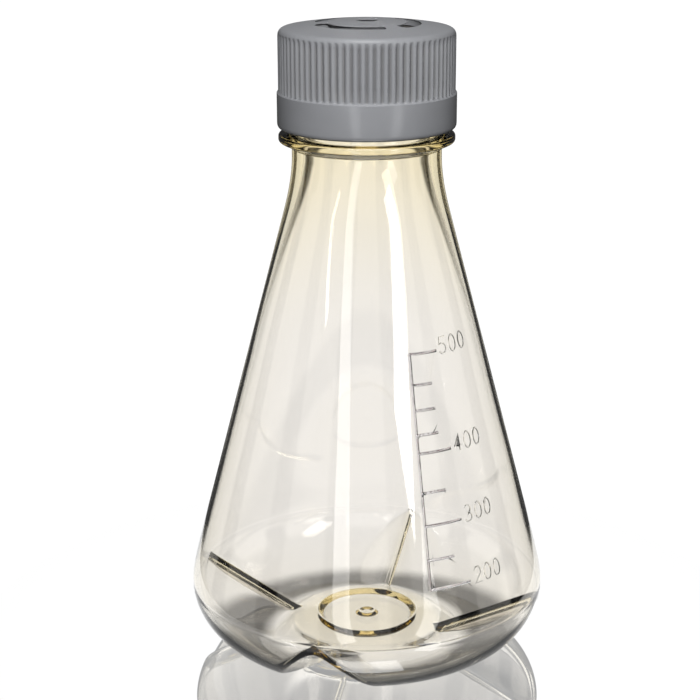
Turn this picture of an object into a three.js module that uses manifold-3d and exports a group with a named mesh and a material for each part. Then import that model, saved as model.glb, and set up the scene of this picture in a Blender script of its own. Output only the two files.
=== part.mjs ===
// Baffled Erlenmeyer shake flask with a vented screw cap.
//
// Millimetres, +Z up. The origin is the centre of the face the flask stands on.
// The volume scale faces -Y. The cap is fully screwed down.

import * as THREE from 'three';
import { mergeVertices } from 'three/addons/utils/BufferGeometryUtils.js';
import Module from 'manifold-3d';

const wasm = await Module();
wasm.setup();

// ---------------------------------------------------------------- dimensions

const ROUND_SEGMENTS = 64;
const ARC_STEPS = 4;
const MERGE_DISTANCE = 1e-4;
const CUT_OVERSHOOT = 1;

// Vessel: a rounded heel, a shoulder, a straight cone and a flare into the neck.
const WALL = 1.6;
const HEEL = { centreRadius: 29, width: 22.9, height: 19.35 };
const CONE = { lowRadius: 50.1, lowZ: 29, highRadius: 23.3, highZ: 130.6 };
const CONE_SLOPE = (CONE.lowRadius - CONE.highRadius) / (CONE.highZ - CONE.lowZ);
const NECK = { radius: 20.9, bore: 17.6, startZ: 146, topZ: 150 };
const SUPPORT_RING = { radius: 24.6, edgeZ: 152, topZ: 153 };
const FINISH = { radius: 20.6, topZ: 176.2, chamfer: 0.6 };

// Base: a standing land round a shallow push-up, with a round well in its middle.
const LAND_INNER_RADIUS = 27.5;
const PUSH_UP = { radius: 22, floorZ: 5, underZ: 2.2 };
const WELL = { radius: 13.7, bottomRadius: 12.6, rimZ: 7.45, floorZ: 6.2, underZ: 3, underRimZ: 3.8 };
const GATE_MARK = { radius: 2.7, topZ: 6.9 };

// Baffles: notches pressed up into the heel, each with a straight rising crest.
const BAFFLE = {
  count: 4,
  azimuth: -16.5,
  innerRadius: 22,
  floorZ: 5,
  underZ: 2.9,
  rise: 0.495,
  flankSlope: 0.85,
  crestRounding: 0.8,
};

// Volume scale, raised on the outside of the cone: volume in mL and height of its mark.
const SCALE_MARKS = [
  [200, 34.5],
  [250, 42.3],
  [300, 51.4],
  [350, 60.2],
  [400, 70.7],
  [425, 75.6],
  [450, 82.1],
  [475, 88.8],
  [500, 97.0],
];
const SCALE = {
  azimuth: -69,
  labelledSweep: 15,
  plainSweep: 10,
  lineWidth: 0.8,
  relief: 0.3,
  rootDepth: 0.5,
};

// Screw thread, the same right-handed helix on the neck and in the cap.
const THREAD = {
  lead: 4,
  turns: 1.5,
  rootWidth: 2.2,
  crestWidth: 1,
  embed: 0.5,
  stepsPerTurn: 24,
  runOutSteps: 2,
  endSteps: 0.2,
};
const NECK_THREAD = { startZ: 160, rootRadius: FINISH.radius, crestRadius: 22 };
const CAP_THREAD = { startZ: 158, rootRadius: 22.4, crestRadius: 21 };

// Cap shell
const CAP = {
  bottomZ: 153.9,
  bandRadius: 24.9,
  bandRounding: 1.6,
  bandTopZ: 163.6,
  ribRadius: 24.5,
  grooveRadius: 23.95,
  ribTopZ: 179.3,
  shoulderRadius: 22.5,
  shoulderZ: 181.3,
  crownZ: 183.3,
  bore: CAP_THREAD.rootRadius,
  ceilingZ: 180.6,
};
const RIB_COUNT = 74;
const VENT = {
  count: 3,
  innerRadius: 11.1,
  outerRadius: 14.1,
  sweep: 100,
  firstAzimuth: 123,
  centreRadius: 2.9,
};

// What the cap holds, from the ceiling down to the lip of the neck.
const SEAL_GAP = 0.3;
const INSERT_RADIUS = CAP.bore - SEAL_GAP;
const MEMBRANE_THICKNESS = 0.4;
const SCRIM_THICKNESS = 0.6;
const RETAINER = { innerRadius: 16, height: 1 };
const LINER = { innerRadius: 18.2, outerRadius: 21.9, height: 1 };

// ------------------------------------------------------------------- helpers

const radians = THREE.MathUtils.degToRad;

/** Turns a closed geometry into a manifold solid, with its faces pointing out. */
function solidFrom(geometry) {
  const bare = new THREE.BufferGeometry();
  bare.setAttribute('position', geometry.getAttribute('position'));
  bare.setIndex(geometry.getIndex());
  const merged = mergeVertices(bare, MERGE_DISTANCE);
  const positions = merged.getAttribute('position').array;
  const corner = (index) => new THREE.Vector3().fromArray(positions, 3 * index);
  const indices = merged.getIndex().array;
  const triangles = [];
  let volume = 0;
  for (let i = 0; i < indices.length; i += 3) {
    const [a, b, c] = indices.subarray(i, i + 3);
    if (a === b || b === c || c === a) continue;
    triangles.push([a, b, c]);
    volume += corner(a).dot(corner(b).cross(corner(c)));
  }
  if (volume < 0) {
    triangles.forEach((triangle) => triangle.reverse());
  }
  return new wasm.Manifold(new wasm.Mesh({
    numProp: 3,
    vertProperties: Float32Array.from(positions),
    triVerts: Uint32Array.from(triangles.flat()),
  }));
}

/** Turns a manifold solid back into a geometry. */
function geometryFrom(solid) {
  const mesh = solid.getMesh();
  const geometry = new THREE.BufferGeometry();
  geometry.setAttribute('position', new THREE.BufferAttribute(mesh.vertProperties, 3));
  geometry.setIndex(new THREE.BufferAttribute(mesh.triVerts, 1));
  geometry.computeVertexNormals();
  return geometry;
}

/** Revolves [radius, z] points about the Z axis. */
function revolve(points, segments = ROUND_SEGMENTS) {
  const profile = points.map(([radius, z]) => new THREE.Vector2(radius, z));
  return new THREE.LatheGeometry(profile, segments).rotateX(Math.PI / 2);
}

/** A flat ring or, with an inner radius of 0, a disc. */
function ring(innerRadius, outerRadius, bottomZ, height) {
  const corners = [
    [innerRadius, bottomZ],
    [outerRadius, bottomZ],
    [outerRadius, bottomZ + height],
    [innerRadius, bottomZ + height],
  ];
  const closing = innerRadius > 0 ? [corners[0]] : [];
  return revolve([...corners, ...closing]);
}

/** A helical ridge. It fades in and out over its first and last steps. */
function threadRidge({ startZ, rootRadius, crestRadius }) {
  const steps = Math.round(THREAD.turns * THREAD.stepsPerTurn);
  const outward = Math.sign(crestRadius - rootRadius);
  const bar = new THREE.BoxGeometry(1, 1, 1, steps, 1, 1);
  const position = bar.getAttribute('position');
  for (let i = 0; i < position.count; i += 1) {
    const along = position.getX(i) + 0.5;
    const atCrest = position.getY(i) > 0;
    const side = 2 * position.getZ(i);
    const stepsFromEnd = steps * Math.min(along, 1 - along);
    const fullness = Math.min(1, (stepsFromEnd + THREAD.endSteps) / THREAD.runOutSteps);
    const crest = THREE.MathUtils.lerp(rootRadius, crestRadius, fullness);
    const radius = atCrest ? crest : rootRadius - outward * THREAD.embed;
    const width = atCrest ? THREAD.crestWidth : THREAD.rootWidth;
    const turn = 2 * Math.PI * THREAD.turns * along;
    const z = startZ + THREAD.lead * THREAD.turns * along + side * width / 2;
    position.setXYZ(i, radius * Math.cos(turn), radius * Math.sin(turn), z);
  }
  return solidFrom(bar);
}

/** An outline in the XY plane of part of a ring, from one azimuth to another. */
function ringSector(innerRadius, outerRadius, fromAzimuth, toAzimuth) {
  const shape = new THREE.Shape();
  shape.absarc(0, 0, outerRadius, radians(fromAzimuth), radians(toAzimuth), false);
  shape.absarc(0, 0, innerRadius, radians(toAzimuth), radians(fromAzimuth), true);
  shape.closePath();
  return shape;
}

/** Extrudes an outline upwards from a height. */
function extrude(shape, bottomZ, height, curveSegments = ARC_STEPS) {
  const options = { depth: height, bevelEnabled: false, curveSegments };
  return new THREE.ExtrudeGeometry(shape, options).translate(0, 0, bottomZ);
}

// -------------------------------------------------------------------- vessel

/** Radius of the outside of the cone at a height. */
function coneRadius(z) {
  return CONE.lowRadius - CONE_SLOPE * (z - CONE.lowZ);
}

/** The wall's outline from the heel up to the neck, outside (inset 0) or inside. */
function wallOutline(inset, neckRadius) {
  const widest = HEEL.centreRadius + HEEL.width - inset;
  const across = inset * Math.hypot(1, CONE_SLOPE);
  const radiusAt = (z) => coneRadius(z) - across;
  const heightAt = (radius) => CONE.lowZ + (CONE.lowRadius - across - radius) / CONE_SLOPE;
  const outline = new THREE.Path();
  outline.absellipse(
    HEEL.centreRadius, HEEL.height, HEEL.width - inset, HEEL.height - inset, -Math.PI / 2, 0, false,
  );
  outline.quadraticCurveTo(widest, heightAt(widest), radiusAt(CONE.lowZ), CONE.lowZ);
  outline.lineTo(radiusAt(CONE.highZ), CONE.highZ);
  outline.quadraticCurveTo(neckRadius, heightAt(neckRadius), neckRadius, NECK.startZ);
  return outline.getPoints(ARC_STEPS).map((point) => [point.x, point.y]);
}

/** How far a baffle's flank has dropped below its crest, at a sideways distance from it. */
function flankDrop(sideways) {
  const { flankSlope, crestRounding } = BAFFLE;
  return flankSlope * (Math.hypot(sideways, crestRounding) - crestRounding);
}

/** Lifts each vertex of the heel and base onto a baffle's flank, where that is higher. */
function liftOverBaffles(position, crestStartZ) {
  const spacing = 2 * Math.PI / BAFFLE.count;
  for (let i = 0; i < position.count; i += 1) {
    if (position.getZ(i) > HEEL.height) continue;
    const radius = Math.hypot(position.getX(i), position.getY(i));
    const azimuth = Math.atan2(position.getY(i), position.getX(i));
    const fromCrest = azimuth - spacing * Math.round(azimuth / spacing);
    const crest = crestStartZ(i) + BAFFLE.rise * (radius - BAFFLE.innerRadius);
    const flank = crest - flankDrop(radius * Math.sin(fromCrest));
    position.setZ(i, Math.max(position.getZ(i), flank));
  }
}

/** The vessel with its baffles, neck, support ring and plain finish. */
function vesselSolid() {
  const outside = [
    [0, WELL.underZ],
    [WELL.bottomRadius, WELL.underZ],
    [WELL.radius, WELL.underRimZ],
    [PUSH_UP.radius, PUSH_UP.underZ],
    [LAND_INNER_RADIUS, 0],
    ...wallOutline(0, NECK.radius),
    [NECK.radius, NECK.topZ],
    [SUPPORT_RING.radius, SUPPORT_RING.edgeZ],
    [SUPPORT_RING.radius, SUPPORT_RING.topZ],
    [FINISH.radius, SUPPORT_RING.topZ],
    [FINISH.radius, FINISH.topZ - FINISH.chamfer],
    [FINISH.radius - FINISH.chamfer, FINISH.topZ],
  ];
  const inside = [
    [0, GATE_MARK.topZ],
    [GATE_MARK.radius, WELL.floorZ],
    [WELL.bottomRadius, WELL.floorZ],
    [WELL.radius, WELL.rimZ],
    [PUSH_UP.radius, PUSH_UP.floorZ],
    [LAND_INNER_RADIUS, WALL],
    ...wallOutline(WALL, NECK.bore),
    [NECK.bore, FINISH.topZ],
  ];
  const profile = [...outside, ...inside.reverse()];
  const geometry = revolve(profile);
  const isOutside = (i) => i % profile.length < outside.length;
  const crestStartZ = (i) => (isOutside(i) ? BAFFLE.underZ : BAFFLE.floorZ);
  liftOverBaffles(geometry.getAttribute('position'), crestStartZ);
  geometry.rotateZ(radians(BAFFLE.azimuth));
  return solidFrom(geometry);
}

/** The raised marks of the volume scale and the upright line they start from. */
function scaleSolids() {
  const bars = SCALE_MARKS.map(([volume, z]) => {
    const sweep = volume % 100 === 0 ? SCALE.labelledSweep : SCALE.plainSweep;
    const surface = coneRadius(z);
    const outline = ringSector(
      surface - SCALE.rootDepth, surface + SCALE.relief, SCALE.azimuth, SCALE.azimuth + sweep,
    );
    return solidFrom(extrude(outline, z - SCALE.lineWidth / 2, SCALE.lineWidth));
  });
  const lowestZ = SCALE_MARKS[0][1];
  const highestZ = SCALE_MARKS[SCALE_MARKS.length - 1][1];
  const depth = SCALE.relief + SCALE.rootDepth;
  const upright = new THREE.BoxGeometry(depth, SCALE.lineWidth, highestZ - lowestZ);
  const position = upright.getAttribute('position');
  for (let i = 0; i < position.count; i += 1) {
    const z = position.getZ(i) + (lowestZ + highestZ) / 2;
    const onSurface = position.getX(i) > 0 ? SCALE.relief : -SCALE.rootDepth;
    position.setX(i, coneRadius(z) + onSurface);
    position.setZ(i, z);
  }
  upright.rotateZ(radians(SCALE.azimuth));
  return [...bars, solidFrom(upright)];
}

function flaskBody() {
  const additions = [threadRidge(NECK_THREAD), ...scaleSolids()];
  return geometryFrom(additions.reduce((body, piece) => body.add(piece), vesselSolid()));
}

// ----------------------------------------------------------------------- cap

/** The outline of the ribbed grip: one crest and one groove for each rib. */
function ribbedOutline() {
  const points = [];
  for (let corner = 0; corner < 2 * RIB_COUNT; corner += 1) {
    const radius = corner % 2 === 0 ? CAP.ribRadius : CAP.grooveRadius;
    const azimuth = Math.PI * corner / RIB_COUNT;
    points.push(new THREE.Vector2(radius * Math.cos(azimuth), radius * Math.sin(azimuth)));
  }
  return new THREE.Shape(points);
}

/** The smooth band at the foot of the cap, as a solid disc with a rounded lower edge. */
function bandSolid() {
  const outline = new THREE.Path();
  outline.moveTo(0, CAP.bottomZ);
  outline.lineTo(CAP.bandRadius - CAP.bandRounding, CAP.bottomZ);
  outline.quadraticCurveTo(
    CAP.bandRadius, CAP.bottomZ, CAP.bandRadius, CAP.bottomZ + CAP.bandRounding,
  );
  outline.lineTo(CAP.bandRadius, CAP.bandTopZ);
  outline.lineTo(0, CAP.bandTopZ);
  return solidFrom(revolve(outline.getPoints(ARC_STEPS).map((point) => [point.x, point.y])));
}

/** The rounded shoulder and shallow dome that close the cap. */
function crownSolid() {
  const outline = new THREE.Path();
  outline.moveTo(0, CAP.ribTopZ);
  outline.lineTo(CAP.grooveRadius, CAP.ribTopZ);
  outline.quadraticCurveTo(CAP.grooveRadius, CAP.shoulderZ, CAP.shoulderRadius, CAP.shoulderZ);
  outline.quadraticCurveTo(CAP.shoulderRadius / 2, CAP.crownZ, 0, CAP.crownZ);
  return solidFrom(revolve(outline.getPoints(ARC_STEPS).map((point) => [point.x, point.y])));
}

/** Everything that is cut out of the crown: three arc vents and one round one. */
function ventSolids() {
  const bottomZ = CAP.ceilingZ - CUT_OVERSHOOT;
  const height = CAP.crownZ + CUT_OVERSHOOT - bottomZ;
  const cuts = [solidFrom(ring(0, VENT.centreRadius, bottomZ, height))];
  const midRadius = (VENT.innerRadius + VENT.outerRadius) / 2;
  const endRadius = (VENT.outerRadius - VENT.innerRadius) / 2;
  for (let index = 0; index < VENT.count; index += 1) {
    const centre = VENT.firstAzimuth + index * 360 / VENT.count;
    const from = centre - VENT.sweep / 2;
    const to = centre + VENT.sweep / 2;
    const arc = ringSector(VENT.innerRadius, VENT.outerRadius, from, to);
    cuts.push(solidFrom(extrude(arc, bottomZ, height, 2 * ARC_STEPS)));
    for (const end of [from, to]) {
      const hole = new THREE.CylinderGeometry(endRadius, endRadius, height, 4 * ARC_STEPS);
      hole.rotateX(Math.PI / 2);
      hole.translate(
        midRadius * Math.cos(radians(end)), midRadius * Math.sin(radians(end)), bottomZ + height / 2,
      );
      cuts.push(solidFrom(hole));
    }
  }
  return cuts;
}

function capShell() {
  const grip = solidFrom(extrude(ribbedOutline(), CAP.bandTopZ, CAP.ribTopZ - CAP.bandTopZ));
  const cavityHeight = CAP.ceilingZ - CAP.bottomZ + CUT_OVERSHOOT;
  const cavity = solidFrom(ring(0, CAP.bore, CAP.bottomZ - CUT_OVERSHOOT, cavityHeight));
  const blank = bandSolid().add(grip).add(crownSolid());
  const hollow = [cavity, ...ventSolids()].reduce((body, cut) => body.subtract(cut), blank);
  return geometryFrom(hollow.add(threadRidge(CAP_THREAD)));
}

// ------------------------------------------------------------------ assembly

const clearPolycarbonate = new THREE.MeshStandardMaterial({
  color: 0xe9e2cf, roughness: 0.05, metalness: 0, transparent: true, opacity: 0.4,
});
const greyPolypropylene = new THREE.MeshStandardMaterial({ color: 0x8e9095, roughness: 0.4, metalness: 0 });
const darkMembrane = new THREE.MeshStandardMaterial({ color: 0x4a4a47, roughness: 0.9, metalness: 0 });
const whiteNonwoven = new THREE.MeshStandardMaterial({ color: 0xdedfdc, roughness: 0.95, metalness: 0 });
const milkyPolypropylene = new THREE.MeshStandardMaterial({
  color: 0xd5d7d8, roughness: 0.5, metalness: 0,
});
const whiteSilicone = new THREE.MeshStandardMaterial({ color: 0xe8e6e0, roughness: 0.6, metalness: 0 });

const flask = new THREE.Group();

function addPiece(name, geometry, material) {
  const mesh = new THREE.Mesh(geometry, material);
  mesh.name = name;
  flask.add(mesh);
}

const membraneZ = CAP.ceilingZ - SEAL_GAP - MEMBRANE_THICKNESS;
const scrimZ = membraneZ - SEAL_GAP - SCRIM_THICKNESS;
const retainerZ = scrimZ - SEAL_GAP - RETAINER.height;
const linerZ = FINISH.topZ + SEAL_GAP;

addPiece('flask_body', flaskBody(), clearPolycarbonate);
addPiece('cap_shell', capShell(), greyPolypropylene);
addPiece('vent_membrane', ring(0, INSERT_RADIUS, membraneZ, MEMBRANE_THICKNESS), darkMembrane);
addPiece('membrane_scrim', ring(0, INSERT_RADIUS, scrimZ, SCRIM_THICKNESS), whiteNonwoven);

const retainerRing = ring(RETAINER.innerRadius, INSERT_RADIUS, retainerZ, RETAINER.height);
addPiece('membrane_retainer', retainerRing, milkyPolypropylene);

const linerRing = ring(LINER.innerRadius, LINER.outerRadius, linerZ, LINER.height);
addPiece('liner_ring', linerRing, whiteSilicone);

export default flask;
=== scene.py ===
"""Looks for a baffled shake flask with a vented screw cap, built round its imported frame.

Every length below is in millimetres, and meshes are scaled to metres when they are made.
"""

import math

import bmesh
import bpy
import numpy as np
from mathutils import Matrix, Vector


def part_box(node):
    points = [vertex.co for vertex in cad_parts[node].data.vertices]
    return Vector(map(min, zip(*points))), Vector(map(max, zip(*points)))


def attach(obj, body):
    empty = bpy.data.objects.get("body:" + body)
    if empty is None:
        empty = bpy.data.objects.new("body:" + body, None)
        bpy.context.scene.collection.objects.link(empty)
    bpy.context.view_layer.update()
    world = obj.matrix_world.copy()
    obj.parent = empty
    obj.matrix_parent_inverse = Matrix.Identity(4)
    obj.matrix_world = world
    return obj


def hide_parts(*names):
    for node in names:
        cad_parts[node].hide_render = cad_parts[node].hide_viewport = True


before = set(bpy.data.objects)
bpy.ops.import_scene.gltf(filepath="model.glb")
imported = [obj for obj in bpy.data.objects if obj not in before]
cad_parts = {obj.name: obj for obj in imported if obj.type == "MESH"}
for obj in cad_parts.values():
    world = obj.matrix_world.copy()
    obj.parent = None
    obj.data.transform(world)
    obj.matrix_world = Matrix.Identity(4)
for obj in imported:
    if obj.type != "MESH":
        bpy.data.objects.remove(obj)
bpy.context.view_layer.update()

MM = 0.001

# ------------------------------------------------------------------ dimensions

# Vessel: the frame's heel, cone and neck, with a wall of its own.
HEEL_CENTRE_RADIUS = 29
HEEL_WIDTH = 22.88
HEEL_HEIGHT = 19.35
CONE_LOW = (50.1, 29.0)
CONE_HIGH = (23.3, 130.6)
CONE_SLOPE = (CONE_LOW[0] - CONE_HIGH[0]) / (CONE_HIGH[1] - CONE_LOW[1])
NECK_RADIUS = 20.9
NECK_BORE = 17.6
NECK_START_Z = 146
BODY_WALL = 1.1
THICKENING_START_Z = 92
THICKENING_POWER = 1.6
HEEL_WALL = 1.6
HEEL_THICKENING_DEPTH = 17
PARTING_GROOVE_DEPTH = 0.12
PARTING_GROOVE_WIDTH = 0.45

# Base: the land it stands on, the push-up, and the round well with its gate mark
LAND_RADIUS = 27.6
WELL_RADIUS = 12.9
WELL_RIM_RADIUS = 14.1
WELL_UNDER_Z = 3.0
WELL_RIM_UNDER_Z = 3.8
WELL_FLOOR_Z = 6.2
WELL_RIM_Z = 7.3
GATE_MARK_RADIUS = 2.4
GATE_MARK_Z = 6.9
GATE_HOLLOW_Z = 6.5

# Support ring and threaded finish
RING_RADIUS = 24.58
RING_LOW_Z = 150.4
RING_TOP_Z = 152.3
FINISH_RADIUS = 20.6
FINISH_START_Z = 154
FINISH_TOP_Z = 176.2

# Baffles
BAFFLE_COUNT = 4
BAFFLE_AZIMUTH = -16.5
BAFFLE_START_RADIUS = 22
BAFFLE_RISE = 0.495
BAFFLE_FLANK_SLOPE = 0.85
BAFFLE_UNDER_ROUNDING = 3.0
BAFFLE_CREST_ROUNDING = 2.0
BAFFLE_UNDER_Z = 2.2
BAFFLE_FLOOR_Z = 4.8
BAFFLE_BLEND = 1.1
CREST_BEAD_HEIGHT = 0.7
CREST_BEAD_HALF_WIDTH = 1.0
CREST_BEAD_FULLNESS = 0.6
CREST_SPREAD = math.radians(9)

# Screw thread
THREAD_LEAD = 4.0
THREAD_TURNS = 1.5
THREAD_WIDTH = 2.0
THREAD_CREST_WIDTH = 1.5
THREAD_FLANK = 0.7
THREAD_FADE_TURNS = 0.06
NECK_THREAD_START_Z = 160
CAP_THREAD_START_Z = 158
THREAD_HEIGHT = 1.35

# Cap
CAP_BOTTOM_Z = 153.9
BAND_RADIUS = 24.88
BAND_TOP_Z = 163.6
RIB_COUNT = 74
RIB_RADIUS = 24.48
RIB_DEPTH = 0.7
RIB_ROUNDNESS = 1.6
# share of painted shade laid on the colour of the grooves between the ribs
GROOVE_PAINTED_SHADE = 0.6
RIB_TOP_Z = 179.3
SHOULDER = (22.5, 181.3)
CROWN_Z = 183.22
CAP_BORE = 22.4
CEILING_Z = 180.6
VENT_RADII = (11.1, 14.1)
VENT_SWEEP = 100
VENT_AZIMUTHS = (123, 243, 363)
CENTRE_VENT_RADIUS = 2.9
CENTRE_VENT_LIP_Z = 182.5
VENT_POCKET_FLARE = 1.2
VENT_POCKET_TOP_Z = 182.25
VENT_LIP_Z = 182.55

# Volume scale: each mark's volume in mL and its height.
SCALE_MARKS = {
    200: 34.5, 250: 42.3, 300: 51.4, 350: 60.2, 400: 70.7, 425: 75.6, 450: 82.1, 475: 88.8, 500: 97.0,
}
SCALE_AZIMUTH = -69
SCALE_LINE_WIDTH = 0.8
SCALE_RELIEF = 0.13
SCALE_TOP_INSET = 0.28
SCALE_ROOT = 0.4
LONG_MARK_SWEEP = 15
SHORT_MARK_SWEEP = 10
NUMERAL_SWEEP = 17
NUMERAL_DROP = 1.2
NUMERAL_SINK = 0.07
NUMERAL_HEIGHT = 4.4
NUMERAL_WIDTH = 2.6
NUMERAL_PITCH = 3.9
NUMERAL_STROKE = 0.5

# Discs in the cap
DISC_DISH = 0.02
DISC_RIPPLE = 0.0015
DISC_RIPPLE_COUNT = 7

# Camera: metres and degrees
CAMERA_PLACE = (0, -0.48375, 0.2397)
CAMERA_TILT = 17.3
CAMERA_LENS = 90.36
CAMERA_SHIFT = -0.0241

# Table: metres, and shares of full brightness
TABLE_RADIUS = 0.12
TABLE_CORNERS = 96
TABLE_DROP = 0.0004
TABLE_FADE_START = 0.8
TABLE_MIRROR = 0.65
TABLE_MIRROR_LOSS = 0.8
TABLE_BOUNCE_LOSS = 0.85
# painted shadow: how far the table's glow is dimmed in a ring under the heel, seen only through the flask
TABLE_SHADE = 0.8
TABLE_SHADOW = (0.027, 0.048)
TABLE_SHADOW_EDGES = (0.006, 0.010)
TABLE_SHADOW_FORWARD = 0.010

# Surround: brightness, and the elevations in degrees between which each part begins or ends
BACKDROP_LEVEL = 1.05
CEILING_LEVEL = 0.015
GLOSS_LEVEL = 0.06
DIFFUSE_LEVEL = 0.04
FIRST_BOUNCE_DEPTH = 2  # the surround counts one bounce more than the surfaces do
FLAG_COUNT = 8
FLAG_EDGE = (-0.70, -0.25)
FLAG_FEET = (-28, -23)
CEILING_EDGE = (20, 32)
REFLECTED_CEILING_EDGE = (30, 42)
GLOSS_FADE = (0, 30)
SCATTER_FADE = (4, 14)

# Lights: name, azimuth in degrees (0 in front, positive to the right), distance, height, size and power
STRIPS = [
    ("left strip", -20, 0.95, 0.25, (0.17, 0.9), 1.0),
    ("right strip", 38, 0.95, 0.38, (0.2, 0.5), 1.9),
    ("low right strip", 38, 0.95, -0.02, (0.16, 0.28), 0.3),
    ("far left strip", -50, 0.95, 0.45, (0.05, 0.25), 0.3),
]
FILLS = [
    ("front fill", 0, 0.32, 0.33, (0.06, 0.06), 1.25),
    ("back fill", 180, 0.32, 0.33, (0.06, 0.06), 1.0),
]
TOP_LIGHT = ("top", 0, 0.5, 1.0, (0.6, 0.6), 6.5)
TOP_AIM = (0, 0, 0.1)
LIGHT_BOUNCES = 24
CLEAR_BOUNCES = 16

# --------------------------------------------------------------- shader writing


class Socket:
    """A node's output, on which Python's arithmetic adds Math nodes."""

    def __init__(self, output):
        self.output = output

    def _math(self, operation, *terms):
        tree = self.output.id_data
        node = tree.nodes.new("ShaderNodeMath")
        node.operation = operation
        for slot, term in zip(node.inputs, terms):
            if isinstance(term, Socket):
                tree.links.new(term.output, slot)
            else:
                slot.default_value = term
        return Socket(node.outputs[0])

    def __add__(self, other):
        return self._math("ADD", self, other)

    def __radd__(self, other):
        return self._math("ADD", other, self)

    def __sub__(self, other):
        return self._math("SUBTRACT", self, other)

    def __rsub__(self, other):
        return self._math("SUBTRACT", other, self)

    def __mul__(self, other):
        return self._math("MULTIPLY", self, other)

    def __rmul__(self, other):
        return self._math("MULTIPLY", other, self)


class Finish:
    """A material being written. add() makes any node: type, settings, then its sockets."""

    def __init__(self, name):
        self.material = bpy.data.materials.new(name)
        self.material.use_nodes = True
        self.tree = self.material.node_tree
        self.tree.nodes.clear()

    @classmethod
    def on_tree(cls, tree):
        """The same, for a tree that isn't a material's."""
        tree.nodes.clear()
        finish = cls.__new__(cls)
        finish.tree = tree
        return finish

    def add(self, kind, settings=None, output=0, **sockets):
        """Where a node has several sockets of one name, a tuple feeds them in turn."""
        node = self.tree.nodes.new("ShaderNode" + kind)
        for name, value in (settings or {}).items():
            setattr(node, name, value)
        for name, value in sockets.items():
            slots = [slot for slot in node.inputs if slot.name == name.replace("_", " ")]
            terms = value if len(slots) > 1 and isinstance(value, tuple) else (value,)
            for slot, term in zip(slots, terms):
                self._feed(slot, term)
        return Socket(node.outputs[output])

    def blend(self, factor, first, second):
        """A surface between two surfaces."""
        node = self.tree.nodes.new("ShaderNodeMixShader")
        for slot, value in zip(node.inputs, (factor, first, second)):
            self._feed(slot, value)
        return Socket(node.outputs[0])

    def _feed(self, slot, value):
        if isinstance(value, Socket):
            self.tree.links.new(value.output, slot)
        elif slot.type == "RGBA":
            slot.default_value = (*value, 1)
        else:
            slot.default_value = value

    def mix(self, factor, first, second):
        """A colour between two colours."""
        node = self.tree.nodes.new("ShaderNodeMix")
        node.data_type = "RGBA"
        colours = [slot for slot in node.inputs if slot.type == "RGBA"]
        self._feed(node.inputs[0], factor)
        self._feed(colours[0], first)
        self._feed(colours[1], second)
        return Socket([slot for slot in node.outputs if slot.type == "RGBA"][0])

    def place(self, output="Object"):
        node = self.tree.nodes.new("ShaderNodeTexCoord")
        return Socket(node.outputs[output])

    def height(self):
        """Height above the floor, in metres."""
        return self.add("SeparateXYZ", output="Z", Vector=self.place())

    def from_axis(self):
        """Distance from the flask's axis, in metres."""
        x, y = (self.add("SeparateXYZ", output=axis, Vector=self.place()) for axis in "XY")
        return self.add("Math", {"operation": "SQRT"}, Value=(x * x + y * y,))

    def ramp(self, value, low, high):
        """0 below low, 1 above high, and a smooth step between them."""
        settings = {"interpolation_type": "SMOOTHSTEP", "clamp": True}
        return self.add("MapRange", settings, Value=value, From_Min=low, From_Max=high)

    def noise(self, scale, detail=2.0):
        return self.add("TexNoise", output="Fac", Vector=self.place(), Scale=scale, Detail=detail)

    def bump(self, height, distance, strength=1.0):
        return self.add("Bump", Height=height, Distance=distance, Strength=strength)

    def done(self, surface, volume=None):
        out = self.tree.nodes.new("ShaderNodeOutputMaterial")
        self.tree.links.new(surface.output, out.inputs["Surface"])
        if volume:
            self.tree.links.new(volume.output, out.inputs["Volume"])
        return self.material


def polycarbonate():
    """Clear polycarbonate, blued against a straw tint that shows where it is thick."""
    finish = Finish("clear polycarbonate")
    ripple = finish.noise(22.0, 1.0)
    surface = finish.add(
        "BsdfPrincipled",
        Base_Color=finish.mix(ripple, (0.965, 0.965, 1.0), (0.975, 0.970, 0.995)),
        Roughness=0.012 + 0.02 * finish.noise(60.0),
        IOR=1.585,
        Transmission_Weight=1.0,
        Normal=finish.bump(ripple, 0.0006, 0.25),
    )
    volume = finish.add("VolumeAbsorption", Color=(0.965, 0.79, 0.15), Density=78.0)
    return finish.done(surface, volume)


def grey_polypropylene():
    """Moulded mid grey: a polished band, finely textured ribs and crown, and painted shade darkening the
    grooves between the ribs.
    """
    finish = Finish("grey polypropylene")
    textured = finish.ramp(finish.height(), (BAND_TOP_Z - 0.4) * MM, (BAND_TOP_Z + 0.6) * MM)
    cloud = finish.noise(90.0, 3.0)
    moulded = finish.mix(cloud, (0.225, 0.230, 0.243), (0.265, 0.270, 0.284))
    below_crown = 1 - finish.ramp(finish.height(), (RIB_TOP_Z - 1.3) * MM, (RIB_TOP_Z + 0.7) * MM)
    groove_floor = (RIB_RADIUS - RIB_DEPTH + 0.02) * MM
    on_crest = finish.ramp(finish.from_axis(), groove_floor, (RIB_RADIUS - 0.08) * MM)
    # Painted shade: the base colour turns darker, towards near black, in the grooves between the ribs,
    # where shade falls.
    groove_shade_mask = textured * below_crown * (1 - on_crest)
    colour = finish.mix(groove_shade_mask * GROOVE_PAINTED_SHADE, moulded, (0.105, 0.103, 0.102))
    grain = finish.noise(2600.0, 2.0)
    surface = finish.add(
        "BsdfPrincipled",
        Base_Color=colour,
        Roughness=0.17 + 0.2 * textured + 0.02 * cloud,
        Specular_IOR_Level=0.5,
        Normal=finish.bump(grain * textured, 0.00003, 0.8),
    )
    return finish.done(surface)


def membrane_film():
    """A matt, slightly mottled filter membrane."""
    finish = Finish("hydrophobic membrane")
    pores = finish.add("TexVoronoi", output="Distance", Vector=finish.place(), Scale=2600.0)
    colour = finish.mix(finish.noise(300.0, 4.0), (0.055, 0.052, 0.046), (0.10, 0.095, 0.085))
    surface = finish.add(
        "BsdfPrincipled",
        Base_Color=colour,
        Roughness=0.75 + 0.2 * pores,
        Normal=finish.bump(pores, 0.00008, 0.7),
    )
    return finish.done(surface)


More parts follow.
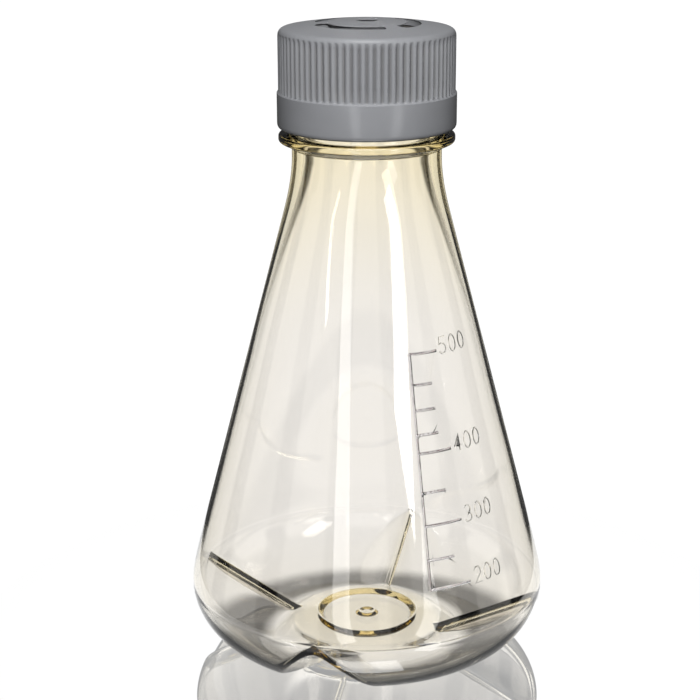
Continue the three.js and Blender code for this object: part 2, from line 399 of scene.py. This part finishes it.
def nonwoven_scrim():
    """Bonded white fibres with a coarse, random lie."""
    finish = Finish("nonwoven scrim")
    fibres = finish.add(
        "TexNoise", output="Fac", Vector=finish.place(), Scale=700.0, Detail=6.0, Distortion=3.0,
    )
    colour = finish.mix(fibres, (0.62, 0.62, 0.60), (0.84, 0.84, 0.82))
    surface = finish.add(
        "BsdfPrincipled",
        Base_Color=colour,
        Roughness=0.85 + 0.1 * fibres,
        Normal=finish.bump(fibres, 0.00012, 0.8),
    )
    return finish.done(surface)


def natural_polypropylene():
    """Uncoloured, milky moulding."""
    finish = Finish("natural polypropylene")
    cloud = finish.noise(120.0, 3.0)
    surface = finish.add(
        "BsdfPrincipled",
        Base_Color=finish.mix(cloud, (0.66, 0.67, 0.68), (0.76, 0.77, 0.78)),
        Roughness=0.32 + 0.1 * cloud,
        Subsurface_Weight=0.15,
        Subsurface_Scale=0.002,
        Normal=finish.bump(cloud, 0.00006, 0.5),
    )
    return finish.done(surface)


def silicone():
    """Soft white liner with a dusty bloom."""
    finish = Finish("liner silicone")
    bloom = finish.noise(240.0, 4.0)
    surface = finish.add(
        "BsdfPrincipled",
        Base_Color=finish.mix(bloom, (0.72, 0.71, 0.68), (0.82, 0.81, 0.78)),
        Roughness=0.48 + 0.2 * bloom,
        Normal=finish.bump(bloom, 0.00004, 0.6),
    )
    return finish.done(surface)


# ------------------------------------------------------------------ mesh writing


def line(start, end, spacing=2.0):
    """Points from start towards end, without the end itself."""
    start, end = np.array(start, float), np.array(end, float)
    count = max(1, math.ceil(np.linalg.norm(end - start) / spacing))
    steps = np.arange(count)[:, None] / count
    return start + (end - start) * steps


def curve(start, control, end, count):
    """A quadratic curve from start towards end, without the end itself."""
    start, control, end = (np.array(point, float) for point in (start, control, end))
    t = np.arange(count)[:, None] / count
    return (1 - t) ** 2 * start + 2 * t * (1 - t) * control + t**2 * end


def rounded(corners, spacing=1.0, steps=5):
    """An outline through (r, z, fillet radius) corners, ends included.

    A corner's fourth number, if it has one, is the spacing of points on the straight that leads to it.
    """
    spacings = [corner[3] if len(corner) > 3 else spacing for corner in corners]
    corners = np.array([corner[:3] for corner in corners], float)
    points = corners[:, :2]
    pieces = []
    start = points[0]
    for index in range(1, len(points) - 1):
        before, here, after = points[index - 1:index + 2]
        fillet = corners[index, 2]
        back = (before - here) / np.linalg.norm(before - here)
        ahead = (after - here) / np.linalg.norm(after - here)
        half_angle = math.acos(np.clip(back @ ahead, -1, 1)) / 2
        reach = fillet / math.tan(half_angle)
        pieces.append(line(start, here + back * reach, spacings[index]))
        if fillet:
            pieces.append(curve(here + back * reach, here, here + ahead * reach, steps))
        start = here + ahead * reach
    pieces.append(line(start, points[-1], spacings[-1]))
    pieces.append(points[-1:])
    return np.vstack(pieces)


def mesh_object(name, points, faces, smooth_angle=35):
    """A smooth-shaded object from points in millimetres."""
    mesh = bpy.data.meshes.new(name)
    mesh.from_pydata(np.asarray(points) * MM, [], faces)
    mesh.validate()
    mesh.shade_smooth()
    mesh.set_sharp_from_angle(angle=math.radians(smooth_angle))
    made = bpy.data.objects.new(name, mesh)
    bpy.context.scene.collection.objects.link(made)
    return made


def revolved(name, profile, azimuths, moved=None, closed=False, smooth_angle=35):
    """Revolves (r, z) points. moved(r, z, azimuth) gives them new ones; closed joins the profile's ends."""
    rings, columns = len(profile), len(azimuths)
    radius, azimuth = np.meshgrid(profile[:, 0], azimuths, indexing="ij")
    z = np.repeat(profile[:, 1:2], columns, axis=1)
    if moved:
        radius, z, azimuth = moved(radius, z, azimuth)
    points = np.stack([radius * np.cos(azimuth), radius * np.sin(azimuth), z], axis=-1)
    index = np.arange(rings * columns).reshape(rings, columns)
    if not closed:
        index[0] = 0
        index[-1] = index[-1, 0]
    faces = []
    for ring in range(rings if closed else rings - 1):
        low, high = index[ring], index[(ring + 1) % rings]
        for column in range(columns):
            following = (column + 1) % columns
            corners = [low[column], low[following], high[following], high[column]]
            faces.append(list(dict.fromkeys(int(corner) for corner in corners)))
    used = np.unique(np.concatenate([np.array(face) for face in faces]))
    order = np.full(rings * columns, -1)
    order[used] = np.arange(len(used))
    faces = [[int(order[corner]) for corner in face] for face in faces]
    return mesh_object(name, points.reshape(-1, 3)[used], faces, smooth_angle)


def lofted(name, sections):
    """A solid through sections of equally many points, closed by a face at each end."""
    size = len(sections[0])
    last = (len(sections) - 1) * size
    faces = [list(range(size))[::-1], [last + corner for corner in range(size)]]
    for first in range(0, last, size):
        for corner in range(size):
            a, b = first + corner, first + (corner + 1) % size
            faces.append([a, b, b + size, a + size])
    return mesh_object(name, [point for section in sections for point in section], faces)


def even_azimuths(count):
    return np.arange(count) * 2 * math.pi / count


def combined(target, tools, operation):
    """Joins the tools to the target, or cuts them from it, and removes them."""
    group = bpy.data.collections.new("tools")
    for tool in tools:
        bpy.context.scene.collection.objects.unlink(tool)
        group.objects.link(tool)
    bpy.context.scene.collection.children.link(group)
    change = target.modifiers.new("combine", "BOOLEAN")
    change.operation = operation
    change.solver = "MANIFOLD"
    change.operand_type = "COLLECTION"
    change.collection = group
    result = bpy.data.meshes.new_from_object(target.evaluated_get(bpy.context.evaluated_depsgraph_get()))
    target.modifiers.clear()
    target.data = result
    for tool in tools:
        bpy.data.objects.remove(tool)
    bpy.data.collections.remove(group)


def finished(piece, body, slot, material, *nodes):
    """Gives a piece its body, finish and the frame nodes that it stands for."""
    piece.data.materials.clear()
    piece.data.materials.append(material)
    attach(piece, body)
    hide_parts(*nodes)


# ------------------------------------------------------------------------ vessel


def cone_radius(z):
    return CONE_LOW[0] - CONE_SLOPE * (z - CONE_LOW[1])


def thickened(outline):
    """Draws the inside of the wall in, more and more towards the neck."""
    radius, z = outline.T
    rise = np.clip((z - THICKENING_START_Z) / (NECK_START_Z - THICKENING_START_Z), 0, 1)
    extra = (NECK_RADIUS - BODY_WALL - NECK_BORE) * rise**THICKENING_POWER
    return np.stack([radius - extra, z], axis=-1)


def heel_drawn_in(heel):
    """Thickens the heel's wall, more and more towards the base."""
    depth = np.clip((HEEL_HEIGHT - heel[:, 1:]) / HEEL_THICKENING_DEPTH, 0, 1)
    extra = (HEEL_WALL - BODY_WALL) * depth * depth * (3 - 2 * depth)
    outward = heel - np.array([HEEL_CENTRE_RADIUS, HEEL_HEIGHT])
    return heel - extra * outward / np.linalg.norm(outward, axis=1, keepdims=True)


def wall_outline(inset, neck_radius):
    """The wall from the heel's lowest point up to the neck; inset is 0 for its outside."""
    across = inset * math.hypot(1, CONE_SLOPE)
    widest = HEEL_CENTRE_RADIUS + HEEL_WIDTH - inset
    low = (CONE_LOW[0] - across, CONE_LOW[1])
    high = (CONE_HIGH[0] - across, CONE_HIGH[1])

    def height_at(radius):
        return CONE_LOW[1] + (low[0] - radius) / CONE_SLOPE

    angle = np.linspace(0, math.pi / 2, 49)[:-1]
    heel = np.stack([
        HEEL_CENTRE_RADIUS + (HEEL_WIDTH - inset) * np.sin(angle),
        HEEL_HEIGHT - (HEEL_HEIGHT - inset) * np.cos(angle),
    ], axis=-1)
    if inset:
        heel = heel_drawn_in(heel)
    neck_start = (neck_radius, NECK_START_Z)
    return np.vstack([
        heel,
        curve((widest, HEEL_HEIGHT), (widest, height_at(widest)), low, 12),
        line(low, high, 4.0),
        curve(high, (neck_radius, height_at(neck_radius)), neck_start, 16),
    ])


def vessel_profile():
    """A closed outline: out under the base, up the wall and finish, and back down inside."""
    under_base = rounded([
        (0, WELL_UNDER_Z, 0),
        (WELL_RADIUS, WELL_UNDER_Z, 0.8),
        (WELL_RIM_RADIUS, WELL_RIM_UNDER_Z, 0.8),
        (BAFFLE_START_RADIUS, BAFFLE_UNDER_Z, 6),
        (LAND_RADIUS, 0, 1.2),
        (HEEL_CENTRE_RADIUS, 0, 0),
    ], 1.0)[:-1]
    thread_top = NECK_THREAD_START_Z + THREAD_LEAD * THREAD_TURNS + THREAD_WIDTH
    finish = rounded([
        (NECK_RADIUS, NECK_START_Z, 0),
        (NECK_RADIUS, RING_LOW_Z - 1.6, 0.9),
        (RING_RADIUS, RING_LOW_Z, 0.8),
        (RING_RADIUS, RING_TOP_Z, 0.7),
        (FINISH_RADIUS, RING_TOP_Z, 0.5),
        (FINISH_RADIUS, NECK_THREAD_START_Z - THREAD_WIDTH, 0),
        (FINISH_RADIUS, thread_top, 0, 0.25),
        (FINISH_RADIUS, FINISH_TOP_Z, 0.6),
        (NECK_BORE, FINISH_TOP_Z, 0.4),
        (NECK_BORE, NECK_START_Z, 0),
    ], 3.0)
    inside_wall = thickened(wall_outline(BODY_WALL, NECK_RADIUS - BODY_WALL))[::-1]
    inside_base = rounded([
        (HEEL_CENTRE_RADIUS, HEEL_WALL, 0),
        (LAND_RADIUS - 0.2, HEEL_WALL + 0.15, 1.6),
        (BAFFLE_START_RADIUS - 0.5, 5.2, 9),
        (WELL_RIM_RADIUS + 0.5, WELL_RIM_Z, 1.0),
        (WELL_RADIUS, WELL_FLOOR_Z, 0.6),
        (GATE_MARK_RADIUS + 1.0, WELL_FLOOR_Z, 0.6),
        (GATE_MARK_RADIUS, GATE_MARK_Z, 0.4),
        (GATE_MARK_RADIUS / 2, GATE_HOLLOW_Z, 0.4),
        (0, GATE_HOLLOW_Z, 0),
    ], 1.0)[1:]
    return np.vstack([under_base, wall_outline(0, NECK_RADIUS), finish, inside_wall, inside_base])


def smooth_max(first, second, blend):
    share = np.clip(0.5 + 0.5 * (first - second) / blend, 0, 1)
    return second * (1 - share) + first * share + blend * share * (1 - share)


def ridge(distance, width):
    """1 on a ridge's flat top, falling smoothly to 0 at its foot. The width is at half its height."""
    share = np.clip((width / 2 + THREAD_FLANK / 2 - np.abs(distance)) / THREAD_FLANK, 0, 1)
    return share * share * (3 - 2 * share)


def thread_height(azimuth, z, start_z):
    """How much of the thread's height stands at a point of the wall, from 0 to 1."""
    turn = (azimuth / (2 * math.pi)) % 1.0
    height = np.zeros_like(z)
    for whole in range(math.ceil(THREAD_TURNS)):
        along = turn + whole
        fade = np.clip(np.minimum(along, THREAD_TURNS - along) / THREAD_FADE_TURNS, 0, 1)
        height = np.maximum(height, fade * ridge(z - start_z - THREAD_LEAD * along, THREAD_CREST_WIDTH))
    return height


def shape_vessel(radius, z, azimuth):
    """Presses the baffles up into the heel and raises the thread on the neck.

    Near the base the columns of points run level with each crest, so that its bead keeps one width.
    """
    spacing = 2 * math.pi / BAFFLE_COUNT
    from_crest = azimuth - math.radians(BAFFLE_AZIMUTH)
    crest = spacing * np.round(from_crest / spacing)
    from_crest = from_crest - crest
    spread = HEEL_CENTRE_RADIUS / np.clip(radius, 0.6 * BAFFLE_START_RADIUS, None) - 1
    near_base = np.clip((CONE_LOW[1] - z) / 5, 0, 1)
    from_crest = from_crest * (1 + near_base * spread * np.exp(-((from_crest / CREST_SPREAD) ** 2)))
    azimuth = math.radians(BAFFLE_AZIMUTH) + crest + from_crest
    sideways = radius * np.sin(from_crest)
    ring_count = len(radius)
    inside = np.arange(ring_count)[:, None] > np.argmax(z[:, 0])
    rounding = np.where(inside, BAFFLE_CREST_ROUNDING, BAFFLE_UNDER_ROUNDING)
    drop = BAFFLE_FLANK_SLOPE * (np.hypot(sideways, rounding) - rounding)
    start_z = np.where(inside, BAFFLE_FLOOR_Z, BAFFLE_UNDER_Z)
    across_bead = np.clip(np.abs(sideways) / CREST_BEAD_HALF_WIDTH, 0, 1)
    bead = inside * CREST_BEAD_HEIGHT * (1 - across_bead**2) ** CREST_BEAD_FULLNESS
    flank = start_z + BAFFLE_RISE * (radius - BAFFLE_START_RADIUS) - drop + bead
    low = z < HEEL_HEIGHT + 0.001
    blend = BAFFLE_BLEND * np.clip((HEEL_HEIGHT - z) / 3, 0.02, 1)
    lifted = smooth_max(z, flank, blend)
    on_finish = (z > FINISH_START_Z) & ~inside
    thread = THREAD_HEIGHT * thread_height(azimuth, z, NECK_THREAD_START_Z)
    groove = PARTING_GROOVE_DEPTH * np.exp(-(((z - HEEL_HEIGHT) / PARTING_GROOVE_WIDTH) ** 2))
    return radius + on_finish * thread - ~inside * groove, np.where(low, lifted, z), azimuth


def crest_dense_azimuths(per_baffle=104, crowding=3.4):
    """Azimuths round the vessel, closest together at the baffles' crests."""
    t = np.arange(per_baffle) / per_baffle * 2 - 1
    local = math.pi / BAFFLE_COUNT * np.sinh(crowding * t) / math.sinh(crowding)
    crests = math.radians(BAFFLE_AZIMUTH) + np.arange(BAFFLE_COUNT) * 2 * math.pi / BAFFLE_COUNT
    return (crests[:, None] + local[None, :]).ravel()


def on_cone(azimuth, z, lift):
    """A point on the outside of the cone, or lifted off it."""
    radius = cone_radius(z) + lift
    return radius * math.cos(azimuth), radius * math.sin(azimuth), z


def raised_bar(name, outline_at, count):
    """A bar on the cone with sloping sides; outline_at(share) gives two (azimuth, z) edges."""
    inset = SCALE_TOP_INSET / SCALE_LINE_WIDTH
    lower_side = [(-SCALE_ROOT, 0), (0, 0), (SCALE_RELIEF, inset)]
    corners = lower_side + [(lift, 1 - share) for lift, share in reversed(lower_side)]
    sections = []
    for step in range(count + 1):
        (azimuth_a, z_a), (azimuth_b, z_b) = outline_at(step / count)
        section = []
        for lift, share in corners:
            azimuth = azimuth_a + share * (azimuth_b - azimuth_a)
            section.append(on_cone(azimuth, z_a + share * (z_b - z_a), lift))
        sections.append(section)
    return lofted(name, sections)


def scale_bars():
    bars = []
    start = math.radians(SCALE_AZIMUTH)
    for volume, z in SCALE_MARKS.items():
        sweep = math.radians(SHORT_MARK_SWEEP if volume % 100 else LONG_MARK_SWEEP)

        def edges(share, z=z, sweep=sweep):
            azimuth = start + sweep * share
            return (azimuth, z - SCALE_LINE_WIDTH / 2), (azimuth, z + SCALE_LINE_WIDTH / 2)

        bars.append(raised_bar(f"mark_{volume}", edges, 12))
    low, high = SCALE_MARKS[200] - SCALE_LINE_WIDTH / 2, SCALE_MARKS[500] + SCALE_LINE_WIDTH / 2

    def upright(share):
        z = low + (high - low) * share
        half = SCALE_LINE_WIDTH / 2 / cone_radius(z)
        return (start + half, z), (start - half, z)

    bars.append(raised_bar("upright", upright, 8))
    return bars


def arc(cx, cy, rx, ry, start, end, count=14):
    angles = np.radians(np.linspace(start, end, count))
    return [(cx + rx * math.cos(a), cy + ry * math.sin(a)) for a in angles]


# Each numeral's single stroke, in a box one unit wide and one unit high.
NUMERAL_STROKES = {
    "0": arc(0.5, 0.5, 0.48, 0.5, 90, 448, 30),
    "2": arc(0.5, 0.7, 0.46, 0.3, 165, -35) + [(0.0, 0.0), (1.0, 0.0)],
    "3": arc(0.45, 0.75, 0.42, 0.25, 150, -85) + arc(0.45, 0.27, 0.5, 0.27, 85, -150),
    "4": [(0.72, 0.0), (0.72, 1.0), (0.0, 0.3), (1.0, 0.3)],
    "5": [(0.9, 1.0), (0.15, 1.0), (0.05, 0.55)] + arc(0.45, 0.32, 0.5, 0.32, 120, -150),
}


def weld(mesh):
    """Joins a tube to its end caps."""
    editor = bmesh.new()
    editor.from_mesh(mesh)
    bmesh.ops.remove_doubles(editor, verts=editor.verts, dist=0.001 * MM)
    editor.to_mesh(mesh)
    editor.free()


def numeral(character, azimuth, z):
    """A raised single-stroke numeral whose lower left corner is at an azimuth and height."""
    radius = cone_radius(z)
    data = bpy.data.curves.new("numeral_" + character, "CURVE")
    data.dimensions = "3D"
    data.bevel_depth = NUMERAL_STROKE / 2 * MM
    data.bevel_resolution = 2
    data.use_fill_caps = True
    stroke = NUMERAL_STROKES[character]
    spline = data.splines.new("POLY")
    spline.points.add(len(stroke) - 1)
    for point, (across, up) in zip(spline.points, stroke):
        place = on_cone(azimuth + across * NUMERAL_WIDTH / radius, z + up * NUMERAL_HEIGHT, -NUMERAL_SINK)
        point.co = (*(Vector(place) * MM), 1)
    made = bpy.data.objects.new("numeral_" + character, data)
    bpy.context.scene.collection.objects.link(made)
    mesh = bpy.data.meshes.new_from_object(made.evaluated_get(bpy.context.evaluated_depsgraph_get()))
    bpy.data.objects.remove(made)
    weld(mesh)
    made = bpy.data.objects.new("numeral_" + character, mesh)
    bpy.context.scene.collection.objects.link(made)
    return made


def scale_numerals():
    numerals = []
    for volume, z in SCALE_MARKS.items():
        if volume % 100:
            continue
        foot = z - NUMERAL_DROP
        start = math.radians(SCALE_AZIMUTH + NUMERAL_SWEEP)
        for place, character in enumerate(str(volume)):
            azimuth = start + place * NUMERAL_PITCH / cone_radius(foot)
            numerals.append(numeral(character, azimuth, foot))
    return numerals


def make_vessel(material):
    vessel = revolved("vessel", vessel_profile(), crest_dense_azimuths(), shape_vessel)
    combined(vessel, scale_bars() + scale_numerals(), "UNION")
    vessel.data.shade_smooth()
    vessel.data.set_sharp_from_angle(angle=math.radians(30))
    finished(vessel, "flask", "clear_polycarbonate", material, "flask_body")


# --------------------------------------------------------------------------- cap


def shape_cap(radius, z, azimuth):
    """Cuts the grooves between the ribs and raises the thread inside."""
    wave = 0.5 - 0.5 * np.cos(RIB_COUNT * azimuth)
    groove = wave**RIB_ROUNDNESS
    fade_top = np.clip((RIB_TOP_Z + 0.5 - z) / 1.6, 0, 1)
    fade_low = np.clip((z - BAND_TOP_Z - 0.05) / 0.95, 0, 1)
    on_ribs = (radius > 22.8) & (z > BAND_TOP_Z)
    depth = on_ribs * RIB_DEPTH * groove * fade_low * np.sqrt(fade_top)
    in_bore = (np.abs(radius - CAP_BORE) < 0.01) & (z < CEILING_Z - 1)
    thread = in_bore * THREAD_HEIGHT * thread_height(azimuth, z, CAP_THREAD_START_Z)
    return radius - depth - thread, z, azimuth


def cap_profile():
    """A closed outline from the centre vent over the crown, down the side and back inside."""
    crown_corner = (RIB_RADIUS, RIB_TOP_Z)
    thread_top = CAP_THREAD_START_Z + THREAD_LEAD * THREAD_TURNS + THREAD_WIDTH
    dome_start = (CENTRE_VENT_RADIUS + 0.3, CROWN_Z)
    dome = curve(dome_start, (SHOULDER[0] / 2, CROWN_Z - 0.17), SHOULDER, 26)
    shoulder = curve(SHOULDER, (RIB_RADIUS - 0.15, SHOULDER[1] - 0.2), crown_corner, 10)
    side = rounded([
        (*crown_corner, 0),
        (RIB_RADIUS, RIB_TOP_Z - 1.6, 0, 0.3),
        (RIB_RADIUS, BAND_TOP_Z + 1.0, 0, 4.0),
        (RIB_RADIUS, BAND_TOP_Z + 0.45, 0.1, 0.2),
        (BAND_RADIUS, BAND_TOP_Z + 0.1, 0.2),
        (BAND_RADIUS, CAP_BOTTOM_Z, 1.5),
        (CAP_BORE + 0.5, CAP_BOTTOM_Z, 0.25),
        (CAP_BORE, CAP_BOTTOM_Z + 0.6, 0.2),
        (CAP_BORE, thread_top, 0, 0.25),
        (CAP_BORE, CEILING_Z, 0.5),
        (CENTRE_VENT_RADIUS + 1.1, CEILING_Z, 0.15),
        (CENTRE_VENT_RADIUS + 1.1, CENTRE_VENT_LIP_Z, 0.1),
        (CENTRE_VENT_RADIUS, CENTRE_VENT_LIP_Z + 0.4, 0.1),
        (CENTRE_VENT_RADIUS, CROWN_Z, 0.15),
        (*dome_start, 0),
    ], 3.0)[:-1]
    return np.vstack([dome, shoulder, side])


def slot_end(middle, width, azimuth, turn, side, z):
    """A point of a slot's round end, turn 0 at the outer edge and pi at the inner one."""
    out = middle + width * math.cos(turn)
    along = side * width * math.sin(turn)
    x = out * math.cos(azimuth) - along * math.sin(azimuth)
    y = out * math.sin(azimuth) + along * math.cos(azimuth)
    return x, y, z


def vent_cutter(azimuth):
    """An arc slot with round ends, wider below a thin lip and eased at its rim."""
    middle = sum(VENT_RADII) / 2
    half_width = (VENT_RADII[1] - VENT_RADII[0]) / 2
    half_sweep = math.radians(VENT_SWEEP / 2) - half_width / middle
    centre = math.radians(azimuth)
    sides = np.linspace(-1, 1, 41)
    turns = np.linspace(0, math.pi, 13)[1:-1]
    layers = [
        (CEILING_Z - 1, VENT_POCKET_FLARE),
        (VENT_POCKET_TOP_Z, VENT_POCKET_FLARE),
        (VENT_LIP_Z, 0),
        (VENT_LIP_Z + 0.25, 0.05),
        (CROWN_Z + 1.28, 0.2),
    ]
    sections = []
    for z, flare in layers:
        width = half_width + flare
        section = []
        for share in sides:
            a = centre + half_sweep * share
            section.append(((middle + width) * math.cos(a), (middle + width) * math.sin(a), z))
        for turn in turns:
            section.append(slot_end(middle, width, centre + half_sweep, turn, 1, z))
        for share in sides[::-1]:
            a = centre + half_sweep * share
            section.append(((middle - width) * math.cos(a), (middle - width) * math.sin(a), z))
        for turn in turns[::-1]:
            section.append(slot_end(middle, width, centre - half_sweep, turn, -1, z))
        sections.append(section)
    return lofted("vent_cutter", sections)


def make_cap(material):
    cap = revolved("cap", cap_profile(), even_azimuths(RIB_COUNT * 8), shape_cap, closed=True)
    combined(cap, [vent_cutter(azimuth) for azimuth in VENT_AZIMUTHS], "DIFFERENCE")
    cap.data.shade_smooth()
    cap.data.set_sharp_from_angle(angle=math.radians(40))
    finished(cap, "cap", "grey_polypropylene", material, "cap_shell")


# ---------------------------------------------------------------- inserts and liner


def make_disc(name, node, slot, material, edge):
    """A thin disc with a rolled edge, bowed down slightly in its middle."""
    low, high = (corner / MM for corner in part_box(node))
    radius = high[0]
    foot = low[2] + DISC_DISH
    profile = rounded([(0, foot, 0), (radius, foot, edge), (radius, high[2], edge), (0, high[2], 0)], 0.8)

    def bow(r, z, azimuth):
        dish = DISC_DISH * (0.5 + 0.5 * np.cos(math.pi * r / radius))
        ripple = DISC_RIPPLE * np.cos(DISC_RIPPLE_COUNT * azimuth) * (r / radius) ** 2
        return r, z - dish + ripple, azimuth

    disc = revolved(name, profile, even_azimuths(144), bow)
    finished(disc, "cap", slot, material, node)


def make_ring(name, node, slot, material, body, inner, fillet, groove_depth):
    """A flat ring with eased edges and a shallow groove round the middle of its top."""
    low, high = (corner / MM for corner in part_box(node))
    outer = high[0]
    corners = [(inner, low[2]), (outer, low[2]), (outer, high[2]), (inner, high[2]), (inner, low[2])]
    profile = rounded([(*corner, fillet) for corner in corners], 0.3)[:-1]
    middle = (inner + outer) / 2

    def grooved(r, z, azimuth):
        on_top = z > (low[2] + high[2]) / 2
        return r, z - on_top * groove_depth * ridge(r - middle, 1.0), azimuth

    ring = revolved(name, profile, even_azimuths(192), grooved, closed=True)
    finished(ring, body, slot, material, node)


# --------------------------------------------------------------------- the studio


def area_light(name, azimuth, distance, height, size, power):
    """A softbox that faces the flask's axis, level, and that the camera doesn't see."""
    angle = math.radians(azimuth)
    place = Vector((distance * math.sin(angle), -distance * math.cos(angle), height))
    data = bpy.data.lights.new(name, "AREA")
    data.shape = "RECTANGLE"
    data.size, data.size_y = size
    data.energy = power
    light = bpy.data.objects.new(name, data)
    light.location = place
    light.rotation_euler = (Vector((0, 0, height)) - place).to_track_quat("-Z", "Z").to_euler()
    light.visible_camera = False
    bpy.context.scene.collection.objects.link(light)
    return light


def make_lights():
    """Strips make the highlights, fills light only the opaque pieces, and the top light does both."""
    for strip in STRIPS:
        area_light(*strip).visible_diffuse = False
    for fill in FILLS:
        light = area_light(*fill)
        light.visible_glossy = False
        light.visible_transmission = False
    top = area_light(*TOP_LIGHT)
    top.rotation_euler = (Vector(TOP_AIM) - top.location).to_track_quat("-Z", "Y").to_euler()
    top.visible_transmission = False


def make_camera():
    data = bpy.data.cameras.new("camera")
    data.lens = CAMERA_LENS
    data.sensor_width = 36
    data.shift_x = CAMERA_SHIFT
    camera = bpy.data.objects.new("camera", data)
    camera.location = CAMERA_PLACE
    camera.rotation_euler = (math.radians(90 - CAMERA_TILT), 0, 0)
    bpy.context.scene.collection.objects.link(camera)
    bpy.context.scene.camera = camera


def white_acrylic():
    """A lit, glossy white, clear from below. Seen through the flask, a soft shadow is painted into its glow
    round under the heel.
    """
    finish = Finish("white acrylic")
    is_refracted = finish.add("LightPath", output="Is Transmission Ray")
    is_diffuse = finish.add("LightPath", output="Is Diffuse Ray")
    from_axis = finish.add("VectorMath", {"operation": "LENGTH"}, output="Value", Vector=finish.place())
    ends = (finish.place(), (0, -TABLE_SHADOW_FORWARD, 0))
    from_shadow = finish.add("VectorMath", {"operation": "DISTANCE"}, output="Value", Vector=ends)
    inner, outer = TABLE_SHADOW
    inner_edge, outer_edge = TABLE_SHADOW_EDGES
    # Painted shadow: the glow dims in a ring under the heel, only for rays that came through the flask.
    in_ring = finish.ramp(from_axis, inner, inner + inner_edge)
    shadow = in_ring * (1 - finish.ramp(from_shadow, outer, outer + outer_edge))
    brightness = (1 - TABLE_SHADE * is_refracted * shadow) * (1 - TABLE_BOUNCE_LOSS * is_diffuse)
    lit = finish.add("Emission", Color=(1, 1, 1), Strength=brightness)
    mirror = finish.add("BsdfGlossy", Color=(1, 1, 1), Roughness=0.0)
    fading = finish.ramp(from_axis, TABLE_FADE_START * TABLE_RADIUS, TABLE_RADIUS)
    share = TABLE_MIRROR * (1 - TABLE_MIRROR_LOSS * is_refracted) * (1 - fading)
    from_below = finish.add("NewGeometry", output="Backfacing")
    clear = finish.add("BsdfTransparent", Color=(1, 1, 1))
    return finish.done(finish.blend(from_below, finish.blend(share, lit, mirror), clear))


def make_floor():
    """A small round table."""
    corners = [(0, 0, 0)]
    for angle in even_azimuths(TABLE_CORNERS):
        corners.append((TABLE_RADIUS * math.cos(angle), TABLE_RADIUS * math.sin(angle), 0))
    faces = [(0, 1 + step, 1 + (step + 1) % TABLE_CORNERS) for step in range(TABLE_CORNERS)]
    mesh = bpy.data.meshes.new("table")
    mesh.from_pydata(corners, [], faces)
    mesh.materials.append(white_acrylic())
    table = bpy.data.objects.new("table", mesh)
    table.location = (0, 0, -TABLE_DROP)
    bpy.context.scene.collection.objects.link(table)


def make_world():
    """A white surround, cut by upright black flags that reach down to FLAG_FEET, below a dark ceiling.

    Only light refracted by the flask meets the flags. The table itself mirrors plain white.
    """
    world = bpy.data.worlds.new("studio")
    world.use_nodes = True
    bpy.context.scene.world = world
    sky = Finish.on_tree(world.node_tree)
    x, y, z = (sky.add("SeparateXYZ", output=axis, Vector=sky.place("Generated")) for axis in "XYZ")

    def above(elevations):
        """0 below the lower elevation, in degrees, and 1 above the upper one."""
        low, high = (math.sin(math.radians(elevation)) for elevation in elevations)
        return sky.ramp(z, low, high)

    azimuth = sky.add("Math", {"operation": "ARCTAN2"}, Value=(y, x))
    wave = sky.add("Math", {"operation": "COSINE"}, Value=(azimuth * FLAG_COUNT,))
    below_flags = 1 - above(FLAG_FEET)
    past_flags = below_flags + (1 - below_flags) * sky.ramp(wave, *FLAG_EDGE)
    depth = sky.add("LightPath", output="Ray Depth")
    first_bounce = sky.add("Math", {"operation": "LESS_THAN"}, Value=(depth, FIRST_BOUNCE_DEPTH + 0.5))
    mirrored = 1 - (1 - first_bounce) * above(REFLECTED_CEILING_EDGE)
    gloss = GLOSS_LEVEL * (1 - above(GLOSS_FADE))
    is_camera = sky.add("LightPath", output="Is Camera Ray")
    is_refracted = sky.add("LightPath", output="Is Transmission Ray")
    is_reflected = sky.add("LightPath", output="Is Glossy Ray") * (1 - is_refracted)
    is_sharp = sky.add("LightPath", output="Is Singular Ray")
    is_diffuse = sky.add("LightPath", output="Is Diffuse Ray")
    refracted = is_refracted * past_flags * (1 - above(CEILING_EDGE))
    reflected = is_reflected * (is_sharp * mirrored + (1 - is_sharp) * gloss)
    scattered = is_diffuse * DIFFUSE_LEVEL * (1 - above(SCATTER_FADE))
    unseen = CEILING_LEVEL + reflected + scattered + refracted
    level = is_camera * BACKDROP_LEVEL + (1 - is_camera) * unseen
    background = sky.add("Background", Color=(1, 1, 1), Strength=level)
    out = world.node_tree.nodes.new("ShaderNodeOutputWorld")
    world.node_tree.links.new(background.output, out.inputs["Surface"])


def make_studio():
    make_camera()
    make_floor()
    make_world()
    make_lights()
    scene = bpy.context.scene
    scene.view_settings.view_transform = "Standard"
    scene.cycles.max_bounces = LIGHT_BOUNCES
    scene.cycles.transmission_bounces = LIGHT_BOUNCES
    scene.cycles.transparent_max_bounces = CLEAR_BOUNCES


# --------------------------------------------------------------------- everything

make_studio()
make_vessel(polycarbonate())
make_cap(grey_polypropylene())
make_disc("membrane", "vent_membrane", "membrane", membrane_film(), 0.1)
make_disc("scrim", "membrane_scrim", "nonwoven", nonwoven_scrim(), 0.15)
make_ring(
    "retainer", "membrane_retainer", "natural_polypropylene", natural_polypropylene(), "cap",
    inner=16.0, fillet=0.15, groove_depth=0.12,
)
make_ring("liner", "liner_ring", "silicone", silicone(), "seal", inner=18.2, fillet=0.3, groove_depth=0.1)
